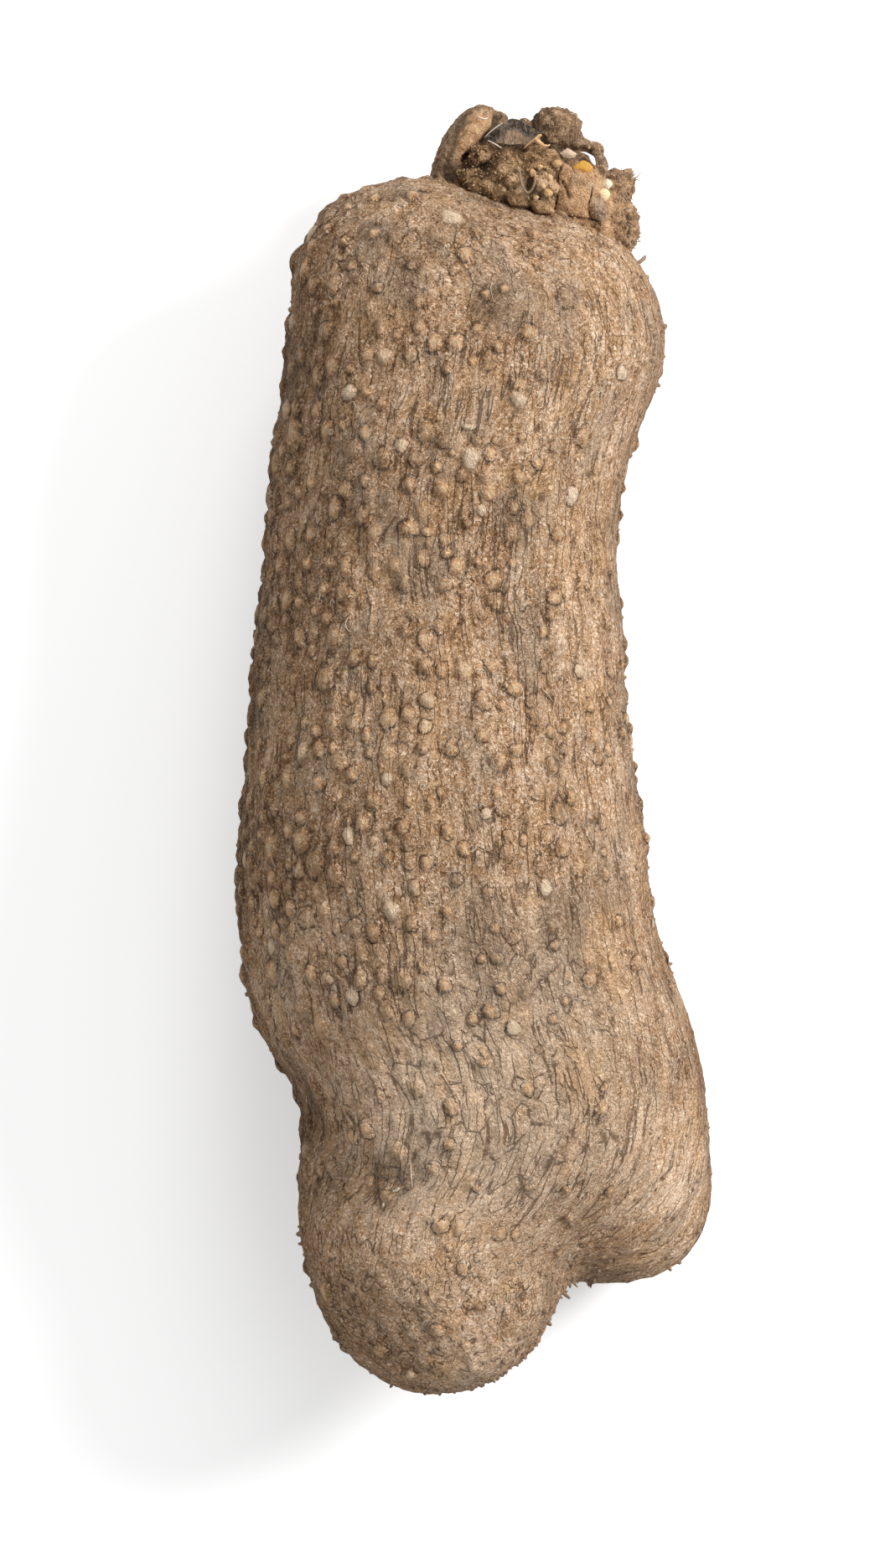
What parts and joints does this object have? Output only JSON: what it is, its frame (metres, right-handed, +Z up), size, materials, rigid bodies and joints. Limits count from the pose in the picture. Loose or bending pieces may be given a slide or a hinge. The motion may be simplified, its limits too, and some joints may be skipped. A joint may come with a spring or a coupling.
{
  "type": "whole yam tuber",
  "caption": "Whole unpeeled yam lying on its side: rough-skinned tuber with a toe and a heel lobe, and a woody crown caked with soil and grit.",
  "frame": {"origin": "middle of the underside of the bounding box, on the surface that the yam lies on", "axes": "+Y along the tuber towards the crown, +X across it towards the heel lobe, +Z up from the surface it lies on"},
  "size_m": [0.1258, 0.3402, 0.0912],
  "materials": {
    "tuber_skin": "corky brown periderm, ridged along the tuber, with tan root scars, grey patches and dark cracks, matte",
    "crown_wood": "dead woody stem base, dark brown and knobbly, matte",
    "soil": "dried clay soil in crumbs, dull",
    "amber_stone": "translucent-looking amber pebble, slightly glossy",
    "cream_stone": "cream pebble, dull",
    "grit": "sandstone grit, tan to grey, dull",
    "chalk": "chalky white flake, dull",
    "scale": "dry papery scale leaf, dark grey-brown, matte",
    "dry_root": "dry thin root, matte",
    "fibre": "pale plant fibre, matte"
  },
  "bodies": {
    "root": {"tuber": "tuber_skin", "crown": "crown_wood", "soil_cake": "soil", "soil_crumb": "soil", "amber_stone": "amber_stone", "cream_stone_round": "cream_stone", "cream_stone_chip": "cream_stone", "grey_stone": "grit", "grit_stone_1": "grit", "grit_stone_2": "grit", "grit_stone_3": "grit", "grit_stone_4": "grit", "grit_stone_5": "grit", "grit_stone_6": "grit", "grit_stone_7": "grit", "grit_stone_8": "grit", "grit_stone_9": "grit", "papery_scale": "scale", "chalky_flake": "chalk", "forked_twig": "dry_root", "twig_fork": "dry_root", "root_loop": "dry_root", "white_fibre": "fibre", "pale_fibre": "fibre", "crown_root": "dry_root"}
  },
  "joints": []
}
